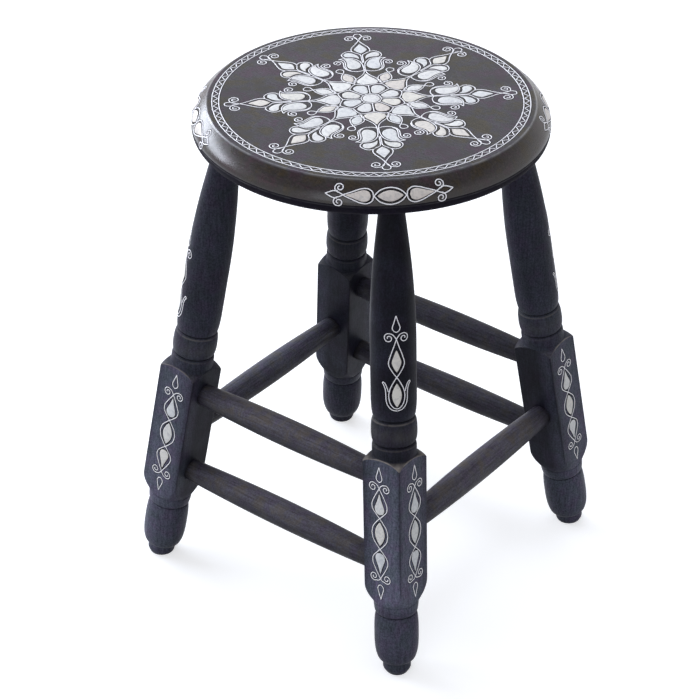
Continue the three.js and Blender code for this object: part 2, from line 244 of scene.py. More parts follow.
# points: n x 3 in millimetres; faces: n x 4 corner numbers; values: one number for each point, by name
def addMesh(name, points, faces, material, slot, **values):
    mesh = bpy.data.meshes.new(name)
    mesh.from_pydata((points * mm).tolist(), [], faces.tolist())
    mesh.polygons.foreach_set("use_smooth", np.ones(len(mesh.polygons), bool))
    mesh.materials.append(material)
    for key, numbers in values.items():
        layer = mesh.attributes.new(key, "FLOAT", "POINT")
        layer.data.foreach_set("value", np.asarray(numbers, np.float32).ravel())
    piece = addObject(name, mesh)
    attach(piece, "root")
    return piece


# Quads of a grid of rows x columns points, each row closed into a loop
def gridFaces(rows, columns):
    i, j = np.meshgrid(np.arange(rows - 1), np.arange(columns), indexing="ij")
    a = i * columns + j
    b = i * columns + (j + 1) % columns
    return np.stack([a, b, b + columns, a + columns], -1).reshape(-1, 4)


# A closed skin over sections (n x m x 3): rows of loops, its two ends drawn in to their middles
def closedTube(sections):
    ends = sections[[0, -1]].mean(1, keepdims=True).repeat(sections.shape[1], 1)
    grid = np.vstack([ends[:1], sections, ends[1:]])
    return grid.reshape(-1, 3), gridFaces(*grid.shape[:2])


# Values for such a skin, the first and last loop's repeated for its ends
def overEnds(values):
    return np.vstack([values[:1], values, values[-1:]])


# Several pairs of points and faces as one pair, each part's corner numbers moved past those before it
def joined(parts):
    starts = np.cumsum([0] + [len(points) for points, _ in parts])
    return (np.vstack([points for points, _ in parts]),
            np.vstack([faces + start for (_, faces), start in zip(parts, starts)]))


# A curve through knots (n x 2): cubics of eight steps that pass each knot along its neighbours' chord
def smoothCurve(knots):
    knots = np.asarray(knots, float)
    padded = np.vstack([2 * knots[:1] - knots[1:2], knots, 2 * knots[-1:] - knots[-2:-1]])
    p0, p1, p2, p3 = (padded[i:len(padded) - 3 + i, None] for i in range(4))
    t = (np.arange(8) / 8)[None, :, None]
    curve = 0.5 * (2 * p1 + (p2 - p0) * t + (2 * p0 - 5 * p1 + 4 * p2 - p3) * t ** 2
                   + (3 * p1 - p0 - 3 * p2 + p3) * t ** 3)
    return np.vstack([curve.reshape(-1, 2), knots[-1:]])


# Cubics from knot to knot that never swing past one: the slope at a knot is the harmonic mean of the slopes
# beside it, or level where these turn
def monotone(knots, at):
    x, y = np.array(knots, float).T
    step, slope = np.diff(x), np.diff(y) / np.diff(x)
    w1, w2 = 2 * step[1:] + step[:-1], step[1:] + 2 * step[:-1]
    with np.errstate(divide="ignore", invalid="ignore"):
        inner = np.where(slope[:-1] * slope[1:] > 0, (w1 + w2) / (w1 / slope[:-1] + w2 / slope[1:]), 0.0)
    tangent = np.hstack([slope[0], inner, slope[-1]])
    i = np.clip(np.searchsorted(x, at) - 1, 0, len(step) - 1)
    t = np.clip((at - x[i]) / step[i], 0, 1)
    return ((2 * t ** 3 - 3 * t ** 2 + 1) * y[i] + (t ** 3 - 2 * t ** 2 + t) * step[i] * tangent[i]
            + (3 * t ** 2 - 2 * t ** 3) * y[i + 1] + (t ** 3 - t ** 2) * step[i] * tangent[i + 1])


# The lesser of two radii, its edge rounded over about soft: minus the log of both exponentials of minus them
def softLesser(first, second, soft):
    return -soft * np.logaddexp(-first / soft, -second / soft)


# 1 where distance is 0, falling off to both sides: e to the power of minus (distance / width) squared
def bell(distance, width):
    return np.exp(-(distance / width) ** 2)


# Points at these radii and turns round an axis
def around(radius, turn):
    return np.stack([radius * np.cos(turn), radius * np.sin(turn)], -1)


print("tools ready")


# Seat

# In mm, with depths from the top. The arris numbers: how far the upper and lower arris are made light, partly
# rubbed and partly a painted glint, most towards the bearing given. The shade number: how far the side is painted
# darker as shade over the depths given. The wood is dull below dullDepth, and painted darker there as shade.
seat = {
    "foot": 157.0, "flat": 150.0, "arris": 151.2, "arrisDepth": 1.2, "widestDepth": 20.5, "round": 256,
    "sideSteepness": (13.53, 6.56), "sideFullness": 1.2, "almondShare": 0.47,
    "rubbedAndLit": (0.85, 0.3), "rubbedAndLitWidth": 0.6, "glintBearing": 37.5, "paintedShade": 0.6,
    "paintedShadeDepths": (13.5, 18.8, 19.2), "dullDepth": 18.9,
}


# The sloping side in section: a cubic Bezier curve from the widest line (share 0) to the arris (share 1)
def sideSection(share):
    low, high = seat["sideSteepness"]
    knots = np.array([[seatRadius, seatTop - seat["widestDepth"]], [seatRadius, seatTop - low],
                      [(seatRadius + seat["flat"]) / 2 + seat["sideFullness"], seatTop - high],
                      [seat["arris"], seatTop - seat["arrisDepth"]]])
    t = share[..., None]
    point = ((1 - t) ** 3 * knots[0] + 3 * t * (1 - t) ** 2 * knots[1] + 3 * t * t * (1 - t) * knots[2]
             + t ** 3 * knots[3])
    slope = ((1 - t) ** 2 * (knots[1] - knots[0]) + 2 * t * (1 - t) * (knots[2] - knots[1])
             + t * t * (knots[3] - knots[2]))
    return point, slope / np.linalg.norm(slope, axis=-1, keepdims=True)


# From the axis on the underside, round the foot, up the sloping side and over the flat top to the axis
def seatSection():
    bottom = np.stack([np.linspace(0, seat["foot"], 12), np.full(12, seatUnderside)], 1)
    t = np.linspace(0, 1, 22)[1:, None]
    corner = np.array([[seat["foot"], seatUnderside], [seatRadius, seatUnderside],
                       [seatRadius, seatTop - seat["widestDepth"]]])
    under = (1 - t) ** 2 * corner[0] + 2 * t * (1 - t) * corner[1] + t * t * corner[2]
    side, _ = sideSection(np.linspace(0, 1, 26)[1:])
    over = np.array([[1.0, -0.6], [0.6, -0.25], [0.0, -0.05], [-0.8, 0.0]]) + [seat["flat"], woodTop]
    top = np.stack([np.linspace(seat["flat"] - 2, 0, 40), np.full(40, woodTop)], 1)
    return np.vstack([bottom, under, side, over, top])


# The section turned about the Z axis. The side is browner than the top, and painted shade darkens it downwards.
def makeSeat():
    section = seatSection()
    turn = np.linspace(0, 2 * np.pi, seat["round"], endpoint=False)
    radius, level = section.T[..., None]
    grid = np.dstack([around(radius, turn), level + 0 * turn])
    depth = seatTop - level
    onSide = np.interp(radius, [seat["flat"], seat["flat"] + 2.5], [0, 1]) + 0 * turn
    onArris, onLower = seat["rubbedAndLit"]
    width = seat["rubbedAndLitWidth"]
    # Arrises rubbed light, with a painted glint on them as well
    rubbedAndLit = (onArris * bell(radius - seat["arris"] + 0.5, width) * (depth < 4)
              + onLower * bell(depth - seat["widestDepth"] + 0.1, width) * (radius > seat["foot"] + 3))
    # Painted glint: lightest towards the given bearing and the one opposite
    glintSideways = 0.3 + 0.7 * np.abs(np.cos(turn - math.radians(seat["glintBearing"]))) ** 1.5
    # Painted shade on the side, deepest just above the dull round under it
    dirt = seat["paintedShade"] * np.interp(depth, seat["paintedShadeDepths"], [0, 1, 0]) * onSide
    piece = addMesh("seat_disc", grid.reshape(-1, 3), gridFaces(*grid.shape[:2]), seatWood, "seat_wood",
                    haze=onSide, wear=rubbedAndLit * glintSideways, dirt=dirt)
    # The lower round and underside take the dull finish, painted darker as shade
    piece.data.materials.append(dullShadedSeatWood)
    below = np.repeat(depth[:-1, 0] > seat["dullDepth"], seat["round"])
    piece.data.polygons.foreach_set("material_index", below.astype(np.int32))
    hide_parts("seat")


# Legs

# In mm. Profiles and shoulders: height along the leg and radius. Grooves and rims: height, half width and how
# black or rubbed. The black in the grooves is painted shade, and the light on the rims is a painted highlight.
# Bloom:
# height and strength, wax bloom that also paints shade, less high up under the seat. Arrises: how bare of bloom
# or black, both painted shade, and half width in degrees.
leg = {
    "cornerEase": 0.3, "lowerSoftness": 0.45, "upperSoftness": 0.12, "blockMiddle": 150,
    "turnedBelow": [  # toe, foot, groove and collar below the block
        (-4, 10), (-1, 10.6), (0.6, 11.6), (2.6, 12.9), (4.6, 13.4), (10, 13.4), (10.7, 13.7), (12, 15.4),
        (14, 17.3), (17, 18.7), (21.5, 19.9), (27.5, 20.7), (36, 21.1), (47, 21.1), (54, 20.8), (59.2, 20.3),
        (62.1, 19.6), (63.3, 18.6), (63.8, 18.1), (64.3, 18.7), (65.2, 19.7), (66.6, 20.4), (69.5, 20.9),
        (73.8, 21.3), (75.4, 21.4), (76.4, 21.4)],
    "lowerShoulder": [(76.4, 21.4), (78.6, 22.7), (81.8, 24.9), (85.2, 27), (88.8, 28.6), (92.8, 29.9),
                      (98.5, 33)],
    "upperShoulder": [(216, 35), (219.6, 32.2), (222.6, 30.1), (225, 27.8), (226.7, 25.4), (227.9, 23),
                      (228.7, 21.3), (229.4, 20.6)],
    "turnedAbove": [  # collar, groove, ring, groove and the long baluster
        (229.4, 20.6), (232, 20.7), (237.4, 20.7), (239.8, 20.4), (240.9, 19.7), (241.5, 18.8), (241.9, 18.3),
        (242.3, 18.8), (243.1, 19.7), (244.6, 20.5), (247.4, 21.1), (252, 21.4), (257.4, 21.3), (262, 20.9),
        (264.8, 20.3), (266.3, 19.6), (267.1, 18.8), (267.6, 18.1), (268, 18.6), (268.9, 19.4), (271.4, 20.1),
        (276.4, 20.7), (286, 21.1), (310, 21.1), (340, 21.1), (362, 20.8), (385, 19.7), (408, 18.1),
        (430, 15.9), (450, 13.6), (465, 11.9), (486, 10.2)],
    "grooves": [(63.8, 0.55, 0.85), (76.2, 0.9, 0.25), (10.6, 0.5, 0.6), (241.9, 0.5, 0.95),
                (267.6, 0.5, 0.95)],
    "highlightedRims": [(265.4, 0.7, 0.4), (239.6, 0.7, 0.2), (254, 8, 0.12)],  # all painted highlights; the last is the ring's painted brown sheen
    "turnedBloomAndShade": [(0, 0.3), (30, 0.5), (62, 0.45), (76, 0.6), (229, 0.06), (232, 0.03), (250, 0.1),
                    (275, 0.06), (300, 0)],
    "blockBloomAndShade": [(110, 0.93), (216, 0.66)], "shadedArris": (0.4, 5.5), "blackShadedArris": (0.4, 1.3),
}
# Sides in X and Y; how far the upper shoulder, the arris below it and the rims are rubbed, on the shoulder partly
# and on the rims wholly as painted light; bloom added on the turned parts and its strength on the block, set leg
# by leg as painted light and shade
legs = {
    "leg_front_left": {"sides": (-1, -1), "rubbedAndLit": (0.15, 0.75, 0.7), "bloomAndPaintedLight": (0.19, 0.95)},
    "leg_front_right": {"sides": (1, -1), "rubbedAndLit": (0.8, 0.9, 0.85), "bloomAndPaintedLight": (0.015, 1.0)},
    "leg_back_left": {"sides": (-1, 1), "rubbedAndLit": (0.06, 0.1, 0.3), "bloomAndPaintedLight": (0.05, 0.9)},
    "leg_back_right": {"sides": (1, 1), "rubbedAndLit": (0.15, 0.75, 0.5), "bloomAndPaintedLight": (0.21, 0.8)},
}
collarTop, stemFoot = leg["lowerShoulder"][0][0], leg["upperShoulder"][-1][0]


# A leg's foot and its own three axes: the world's, tipped towards the middle about a level line
def legAxes(sides):
    sideX, sideY = sides
    up = np.array([-sideX * legLean, -sideY * legLean, 1.0])
    up /= np.linalg.norm(up)
    turn = Vector((0, 0, 1)).rotation_difference(Vector(up)).to_matrix()
    return np.array([sideX * legFoot, sideY * legFoot, 0.0]), np.array(turn).T


# Radius over height and turn: turned sections, and between them the square stock, whose rows start and end on
# the lines where a shoulder cuts it, low and high, to keep them crisp. Gives the degrees from an arris too.
def legShape():
    near, wide = np.array([0.35, 0.9, 1.8, 3.4, 6.0]), np.linspace(9, 36, 10)
    corner = np.sort(np.hstack([-near, 0, near, wide, -wide, 45]))
    turn = np.radians(np.hstack([corner + 45 + 90 * i for i in range(4)]))
    square = halfBlock / np.maximum(np.abs(np.cos(turn)), np.abs(np.sin(turn)))
    square = softLesser(square, halfBlock * math.sqrt(2) - leg["cornerEase"], 0.2)
    crossings = []
    for shoulder in (leg["lowerShoulder"], leg["upperShoulder"]):
        heights = np.linspace(shoulder[0][0], shoulder[-1][0], 600)
        radii = monotone(shoulder, heights)
        order = np.argsort(radii)
        crossings.append(np.interp(square, radii[order], heights[order]))
    low, high = crossings
    share = np.linspace(0, 1, 14)[:, None]
    edge = np.array([0.15, 0.4, 0.9, 1.8])[:, None]
    middle = low + edge[-1] + (high - low - 2 * edge[-1]) * np.linspace(0, 1, 40)[1:-1, None]
    below = np.hstack([np.arange(-3, 16, 0.6), np.arange(16, 57, 1.8), np.arange(57, collarTop, 0.35)])
    above = np.hstack([np.arange(stemFoot + 0.2, 274, 0.35), np.arange(274, legLength + 6, 3.5)])
    heights = np.vstack([below[:, None] + 0 * turn, collarTop + (low - collarTop) * share, low + edge, middle,
                         high - edge[::-1], high + (stemFoot - high) * share, above[:, None] + 0 * turn])
    radius = np.select(
        [heights < collarTop, heights <= leg["blockMiddle"], heights <= stemFoot],
        [monotone(leg["turnedBelow"], heights),
         softLesser(monotone(leg["lowerShoulder"], heights), square, leg["lowerSoftness"]),
         softLesser(monotone(leg["upperShoulder"], heights), square, leg["upperSoftness"])],
        monotone(leg["turnedAbove"], heights))
    return heights, radius, turn, low, high, np.tile(corner, 4)


# Bells along the leg, added up
def bands(heights, table):
    return sum(strength * bell(heights - at, width) for at, width, strength in table)


# The shape set up on its foot. Bloom lies most on the block's outer faces, where it also paints light, with
# painted shade on the inner faces and up under the seat; black lies in grooves and arrises as painted shade.
def makeLeg(name, sides, rubbedAndLit, bloomAndPaintedLight):
    heights, radius, turn, low, high, fromCorner = legShape()
    outer = np.clip(0.5 + 0.64 * (np.cos(turn) * sides[0] + np.sin(turn) * sides[1]), 0, 1)  # 1 on outer faces
    onTurned, onFaces = bloomAndPaintedLight
    # Painted light and shade: more bloom low down and on the outer side, less up the stem under the seat
    turnedHazeAndLight = onTurned + np.interp(heights, *zip(*leg["turnedBloomAndShade"])) * (0.35 + 0.65 * outer)
    # Painted shade along the block's arrises: less bloom, and a black line
    arrisShade, arrisBlackShade = (much * bell(fromCorner, width) for much, width in (leg["shadedArris"], leg["blackShadedArris"]))
    arrisShade = arrisShade * np.interp(heights, [90, 130], [0, 1])
    blockHazeAndLight = 0.03 + onFaces * outer * np.interp(heights, *zip(*leg["blockBloomAndShade"])) * (1 - arrisShade)
    onBlock = np.clip((heights - 70) / 12, 0, 1) * (heights <= high)
    haze = turnedHazeAndLight + (blockHazeAndLight - turnedHazeAndLight) * onBlock
    onShoulder, onRim, ringHighlight = rubbedAndLit
    # Upward flare of the upper shoulder made light: partly rubbed, partly painted light where it faces up
    flare = (heights > high) * (heights < stemFoot) * np.clip((radius - 21.3) / 5, 0, 1)
    rim = bell(heights - high, 0.45) * np.clip(2.2 * outer - 0.9, 0, 1)
    # The rings' light lines are painted highlights
    wear = np.maximum(np.maximum(onShoulder * flare, onRim * rim), ringHighlight * bands(heights, leg["highlightedRims"]))
    # Black in the grooves and on the arrises: painted shade
    dirt = bands(heights, leg["grooves"]) + arrisBlackShade * (heights >= low) * (heights <= high)
    foot, (axisX, axisY, axisZ) = legAxes(sides)
    grid = (foot + heights[..., None] * axisZ + (radius * np.cos(turn))[..., None] * axisX
            + (radius * np.sin(turn))[..., None] * axisY)
    grid[..., 2] = np.clip(grid[..., 2], 0.0, seatUnderside + 0.5)
    piece = addMesh(name + "_turned", *closedTube(grid), legWood, "leg_wood", haze=overEnds(haze),
                    wear=overEnds(wear), dirt=overEnds(np.clip(dirt, 0, 1)))
    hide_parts(name)


# Rails

# In mm: radius at the middle and at the ends, and how far they go into the blocks; swell is a power
rail = {"middle": 13.5, "end": 10.7, "swell": 0.9, "sunk": 1.5, "steps": 70, "round": 48}
rails = [  # name, height, along X, side, bloom with painted light and shade, rubbed tone on top
    ("rail_front_upper", 196, True, -1, 0.95, 0.4), ("rail_front_lower", 107.5, True, -1, 0.9, 0.35),
    ("rail_back_upper", 196, True, 1, 0.22, 0.08), ("rail_back_lower", 107.5, True, 1, 0.28, 0.1),
    ("rail_left", 143, False, -1, 0.85, 0.14), ("rail_right", 143, False, 1, 1.0, 0.36),
]


# The radius swells as a power of half a sine from block to block
def makeRail(name, height, alongX, side, bloomAndPaintedLight, rubbedAndLit):
    reach = legFoot - legLean * height
    half = reach - halfBlock
    along = np.linspace(-1, 1, rail["steps"]) * (half + rail["sunk"])
    share = np.clip((along / half + 1) / 2, 0, 1)
    radius = rail["end"] + (rail["middle"] - rail["end"]) * np.sin(np.pi * share) ** rail["swell"]
    turn = np.linspace(0, 2 * np.pi, rail["round"], endpoint=False)
    a = along[:, None] + 0 * turn
    b = side * reach + radius[:, None] * np.cos(turn)
    c = height + radius[:, None] * np.sin(turn)
    grid = np.stack([a, b, c] if alongX else [b, a, c], -1)
    # Bloom and rubbed tone lie most on the upper side. There the bloom is painted light, and the back rails get
    # little of it, as painted shade.
    onTop = np.clip(0.25 + 0.9 * np.sin(turn), 0, 1) * np.sin(np.pi * share)[:, None] ** 0.4
    # Darker near the blocks
    nearEnd = bell(half - np.abs(along), 3.0)[:, None] + 0 * turn
    onTop, nearEnd = overEnds(onTop), overEnds(nearEnd)
    points, faces = closedTube(grid[::-1] if alongX else grid)
    piece = addMesh(name + "_round", points, faces, railWoodX if alongX else railWoodY, "rail_wood",
                    haze=bloomAndPaintedLight * onTop, wear=rubbedAndLit * onTop, dirt=0.5 * nearEnd)
    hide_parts(name)


makeSeat()
for name, own in legs.items():
    makeLeg(name, **own)
for each in rails:
    makeRail(*each)
print("seat, legs and rails made")


# Where flat ornaments go: each place turns (along, across, height) in mm into the stool's frame

# The flat top: the arm at that bearing lies along the first axis
def topPlace(bearing):
    c, s = math.cos(bearing), math.sin(bearing)

    def place(along, across, height):
        return np.stack([along * c - across * s, along * s + across * c, woodTop + height], -1)
    return place


# The sloping side: along runs round the seat, across runs up the slope from the almonds' line
def sidePlace(bearing):
    shares = np.linspace(0, 1, 200)
    points, _ = sideSection(shares)
    lengths = np.hstack([0, np.cumsum(np.linalg.norm(np.diff(points, axis=0), axis=1))])
    middle = np.interp(seat["almondShare"], shares, lengths)

    def place(along, across, height):
        point, slope = sideSection(np.interp(middle + across, lengths, shares))
        radius = point[..., 0] + slope[..., 1] * height
        level = point[..., 1] - slope[..., 0] * height
        turn = bearing + along / sideInlay["rolledOn"]
        return np.dstack([around(radius, turn), level])
    return place


# A face of the leg's square block: along runs up the leg, across over the face, height out of it
def blockPlace(sides, face, fromCorner):
    foot, (axisX, axisY, axisZ) = legAxes(sides)
    out, aside = axisX * sides[0], axisY * sides[1]
    if face == "y":
        out, aside = aside, out
    over = np.cross(axisZ, out)

    def place(along, across, height):
        return (foot + (along + blockInlay["middle"])[..., None] * axisZ + across[..., None] * over
                - fromCorner * aside + (halfBlock + height)[..., None] * out)
    return place


# The front of the turned upper leg: along runs up the leg, across round it from the outward line
def balusterPlace(sides):
    foot, (axisX, axisY, axisZ) = legAxes(sides)
    middle = math.atan2(sides[1], sides[0])

    def place(along, across, height):
        radius = monotone(leg["turnedAbove"], along)
        turn = middle + across / radius
        reach = (radius + height)[..., None]
        return (foot + along[..., None] * axisZ + reach * np.cos(turn)[..., None] * axisX
                + reach * np.sin(turn)[..., None] * axisY)
    return place


# Inlay: bones are plates between two edge curves, wires are rods along curves, each in its bed of mastic

# In mm. Growth moves a plate's edge out beyond its drawn line; heights are above the wood, depths below it.
# wireSunk is how far the wire's middle lies below the wood.
inlay = {
    "boneHeight": 0.26, "boneGrowth": 0.35, "bedGrowth": 1.25, "bedHeight": 0.03, "bedDepth": 0.35,
    "wireRadius": 0.7, "wireSunk": 0.38, "grooveHalfWidth": 1.05,
}
rng = np.random.default_rng(7)


# Moves both edges of a leaf apart by a distance, and stretches the leaf by as much at each end
def grown(first, second, distance):
    apart = first - second
    apart = apart * distance / np.maximum(np.linalg.norm(apart, axis=1, keepdims=True), 1.0)
    middle = (first + second) / 2
    run = middle[-1] - middle[0]
    length = max(np.linalg.norm(run), 1e-6)
    share = ((middle - middle[0]) @ run / length ** 2 - 0.5)[:, None]
    stretch = run / length * 2 * distance * share
    return first + apart + stretch, second - apart + stretch


# A plate between two edges, grown by so many mm: share runs across it, and rise is its height there
def plate(edges, growth, share, rise, place):
    first, second = grown(*edges, growth)
    share = np.array(share)[:, None]
    flat = first[:, None] * (1 - share) + second[:, None] * share
    return closedTube(place(flat[..., 0], flat[..., 1], rise + 0 * flat[..., 0]))


# A bone: across each step a low arch with rounded shoulders, closed underneath
def bonePlate(edges, place):
    rise = np.array([-0.5, 0.3, 0.75, 1.0, 1.0, 1.0, 0.75, 0.3, -0.5, -0.5]) * inlay["boneHeight"]
    return plate(edges, inlay["boneGrowth"], [0, 0, 0.03, 0.12, 0.5, 0.88, 0.97, 1, 1, 0.5], rise, place)


# The mastic round a bone: the same plate, wider and almost flush with the wood
def boneBed(edges, place, margin=1.0):
    top, bottom = inlay["bedHeight"], -inlay["bedDepth"]
    rise = np.array([bottom, top, top, top, top, top, bottom, bottom])
    return plate(edges, inlay["bedGrowth"] * margin, [0, 0, 0.25, 0.5, 0.75, 1, 1, 0.5], rise, place)


# A bar along a curve; its section is a closed loop of (across, height) points
def bar(curve, place, section):
    direction = np.gradient(curve, axis=0)
    direction /= np.maximum(np.linalg.norm(direction, axis=1, keepdims=True), 1e-9)
    across = np.stack([-direction[:, 1], direction[:, 0]], 1)
    flat = curve[:, None] + across[:, None] * section[None, :, :1]
    return closedTube(place(flat[..., 0], flat[..., 1], section[None, :, 1] + 0 * flat[..., 0])[:, ::-1])


# The round wire: a circle of points, a little sunk
def wireRod(curve, place, scale=1.0, sides=8):
    turn = np.linspace(0, 2 * np.pi, sides, endpoint=False) + np.pi / sides
    return bar(curve, place, around(inlay["wireRadius"] * scale, turn) - [0, inlay["wireSunk"] * scale])


# The groove that a wire lies in: a flat bar, a hair above the wood
def wireGroove(curve, place):
    w, h, d = inlay["grooveHalfWidth"], inlay["bedHeight"], inlay["bedDepth"]
    return bar(curve, place, np.array([[w, -d], [w, h], [-w, h], [-w, -d]]))


# A spiral that winds evenly in to 22% of its radius; start is the angle of its outer end, sense is 1 or -1
def spiral(centre, radius, start, turns, sense=1):
    t = np.linspace(0, 1, int(9 * turns))
    angle = math.radians(start) + sense * 2 * np.pi * turns * t
    return centre + around(radius * (1 - 0.78 * t), angle)


# Each curve and its mirror image across the ornament's middle line
def mirrored(curves):
    return [curve * [1, side] for curve in curves for side in (1, -1)]


# Each curve and its mirror image at the ornament's other end
def bothEnds(curves):
    return [curve * [sense, 1] for curve in curves for sense in (1, -1)]


# Both edges of a leaf on the middle line, from half of its outline
def leafEdges(knots):
    half = smoothCurve(knots)
    return half, half * [1, -1]


# One bone plate as an object; where the stool's model has that bone as a solid, node names it
def addBone(name, edges, place, tint, node=None):
    points, faces = bonePlate(edges, place)
    piece = addMesh(name + "_bone", points, faces, bone, "bone", tint=np.full(len(points), tint))
    if node:
        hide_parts(node)


# All wires of an ornament, each as wireRod takes it, as one object, and all grooves and beds as another
def addWires(name, beds, wires):
    grooves = [wireGroove(*wire[:2]) for wire in wires]
    addMesh(name + "_grooves", *joined(beds + grooves), mastic, "seat_wood")
    return addMesh(name + "_wires", *joined([wireRod(*wire) for wire in wires]), silveryWire, "silvery_wire")


# The star: eight arms, each drawn along its own bearing

# Radii in mm; tints are drawn from 0 up to tintSpan, and the beds are narrower than elsewhere by bedMargin.
# Curls: the centre, radius, first angle and turns of the spiral that ends a wire.
star = {
    "centre": 7.4, "ring": 9.2, "centreTint": 0.2, "tintSpan": 0.78, "bedMargin": 0.75,
    "curls": {"tulip": ((73.4, 23.8), 4.6, -18, 1.35), "tipCurl": ((124.6, 8.2), 5.4, -38, 1.5)},
}
# Knots in mm: the distance from the seat's middle, then from the arm's line. Inner petals, small leaves and
# betweenLeaf lie on the lines halfway between the arms.
starBones = {
    "inner_petal": [(11, 0), (12.2, 2.5), (16.5, 4.5), (21.5, 6), (25.4, 4.7), (27.4, 0)],
    "small_leaf": [(37.2, 0), (41, 3.2), (45.5, 4.4), (50, 2.7), (53, 0)],
    "shield_petal": [(28.6, 0), (29.5, 4.6), (31.2, 8.2), (33.8, 9.3), (37.6, 8.3), (41.6, 5), (45.5, 2.2),
                     (50, 0)],
    "tip_leaf": [(93, 0), (96.8, 3.6), (101.2, 5.6), (105.8, 3.5), (112, 0)],
    "comma_inner": [(81.2, 17.2), (81.4, 12.3), (78.7, 7.5), (73.6, 4.3), (68, 3.1), (63.5, 4.6), (60.8, 8.2),
                    (60.4, 10.5)],
    "comma_outer": [(81.2, 17.2), (78, 15.6), (74, 15), (70, 15.2), (66.5, 15.3), (63, 14.4), (61, 12.6),
                    (60.4, 10.5)],
    "small_petal_inner": [(81.5, 3.2), (87, 4.2), (91.3, 7.2), (93.9, 11.3), (93.2, 15), (90.4, 16.7)],
    "small_petal_outer": [(81.5, 3.2), (84.4, 6), (85.6, 10), (85.8, 13.4), (87.4, 16), (90.4, 16.7)],
}
starWires = {
    "stem": [(8.9, 0), (26, 0)],
    "petalArc": [(26, 0), (27.5, 3.4), (28.8, 7.3), (29.4, 10.3), (29.1, 12.05)],
    "shieldStrand": [(29.1, 12.05), (32.2, 12.6), (36, 12), (40.2, 9.4), (44.6, 5.8), (49.2, 2.6), (54, 1),
                     (60, 0.62), (66, 0.8), (71, 1.5), (75.6, 3), (80, 6), (82.6, 10.8), (82.9, 16.2),
                     (81.8, 22.4)],
    "tipStrand": [(73, 0.62), (80, 0.7), (88.5, 0.85), (91.6, 2.6), (94.4, 6), (97.2, 8.2), (101, 8.9),
                  (106.2, 7.4), (112.2, 3.9), (117.4, 1.3), (120.6, 0), (123.6, -1.5), (127.4, -3.3),
                  (131, -3.7), (133.6, -2.2), (134.2, 0)],
    "tulip": [(57.6, 0.75), (55.6, 4.6), (55.6, 10.2), (58.2, 15.4), (62.8, 18.3), (68.4, 18.8), (73.4, 18.8),
              (76.8, 20.0)],
    "tulipLip": [(57.4, 13.2), (60.6, 16.1), (65, 17), (70, 16.9), (74.6, 16.8), (78.4, 18), (80.6, 20),
                 (81.8, 22.4)],
    "smallPetalArc": [(83.9, 16), (86.4, 18.3), (90.2, 18.9), (94.6, 16.8), (97.3, 12.6), (96.6, 8.6),
                      (94.2, 5.4)],
    "tipCurl": [(123, 0.9), (126.6, 2.2)],
    "betweenLeaf": [(33.4, 0), (37.5, 4.2), (44.5, 6.4), (50.4, 4.3), (54, 1.6), (56, 0), (58, -2.2),
                    (61, -3.6), (64, -2.7), (65, 0)],
}


# The curves on an arm, and those on the line halfway to the next
def starArmWires():
    knots = dict(starWires)
    for key, curl in star["curls"].items():
        knots[key] = np.vstack([knots[key], spiral(*curl)])
    curves = {key: smoothCurve(points) for key, points in knots.items()}
    stem, between = curves.pop("stem"), curves.pop("betweenLeaf")
    return [stem] + mirrored(curves.values()), mirrored([between])


# Eight times the same arm, each turned on by an eighth of a circle, round a disc and its ring
def makeStar():
    armCurves, betweenCurves = starArmWires()
    beds, wires = [], []
    for arm in range(8):
        onArm, between = (topPlace((arm + on) * math.pi / 4 + starTurn) for on in (0, 0.5))
        bones = [(kind, leafEdges(starBones[kind]), place) for kind, place in (
            ("shield_petal", onArm), ("tip_leaf", onArm), ("inner_petal", between), ("small_leaf", between))]
        for kind in ("comma", "small_petal"):
            for side, word in ((1, "left"), (-1, "right")):
                edges = [smoothCurve(starBones[f"{kind}_{edge}"]) * [1, side] for edge in ("inner", "outer")]
                bones.append((f"{kind}_{word}", edges[::-side], onArm))
        for kind, edges, place in bones:
            piece = f"star_{kind}_{arm + 1}"
            inModel = not kind.startswith("small")
            addBone(piece, edges, place, star["tintSpan"] * rng.random(), piece if inModel else None)
            beds.append(boneBed(edges, place, star["bedMargin"]))
        wires += [(curve, onArm) for curve in armCurves] + [(curve, between) for curve in betweenCurves]
    place = topPlace(0)
    edge = around(star["centre"], np.linspace(0, np.pi, 25)) * [-1, 1]
    addBone("star_centre", (edge, edge * [1, -1]), place, star["centreTint"], "star_centre")
    ring = around(star["ring"], np.linspace(0, 2 * np.pi, 49))
    addWires("star", beds, wires + [(ring, place)])


# The border of the top: two ring wires and, between them, one wire bent to and fro. Radii and gap in mm;
# the zigzag keeps the gap clear of each ring.
border = {"inner": 139.1, "outer": 145.4, "bends": 92, "gap": 0.75, "zigzagScale": 0.92}


# The zigzag's radius is a triangle wave of the angle, with its peaks a little rounded
def makeBorder():
    place = topPlace(0)
    rings = [around(border[key], np.linspace(0, 2 * np.pi, 361)) for key in ("inner", "outer")]
    turn = np.linspace(0, 2 * np.pi, border["bends"] * 8 + 1)
    wave = 2 / np.pi * np.arcsin(0.95 * np.sin(border["bends"] * turn))
    swing = (border["outer"] - border["inner"]) / 2 - border["gap"]
    zigzag = around((border["inner"] + border["outer"]) / 2 + wave * swing, turn)
    wires = [(curve, place) for curve in rings] + [(zigzag, place, border["zigzagScale"], 6)]
    piece = addWires("border", [], wires)
    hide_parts("border_wire_outer", "border_wire_inner")


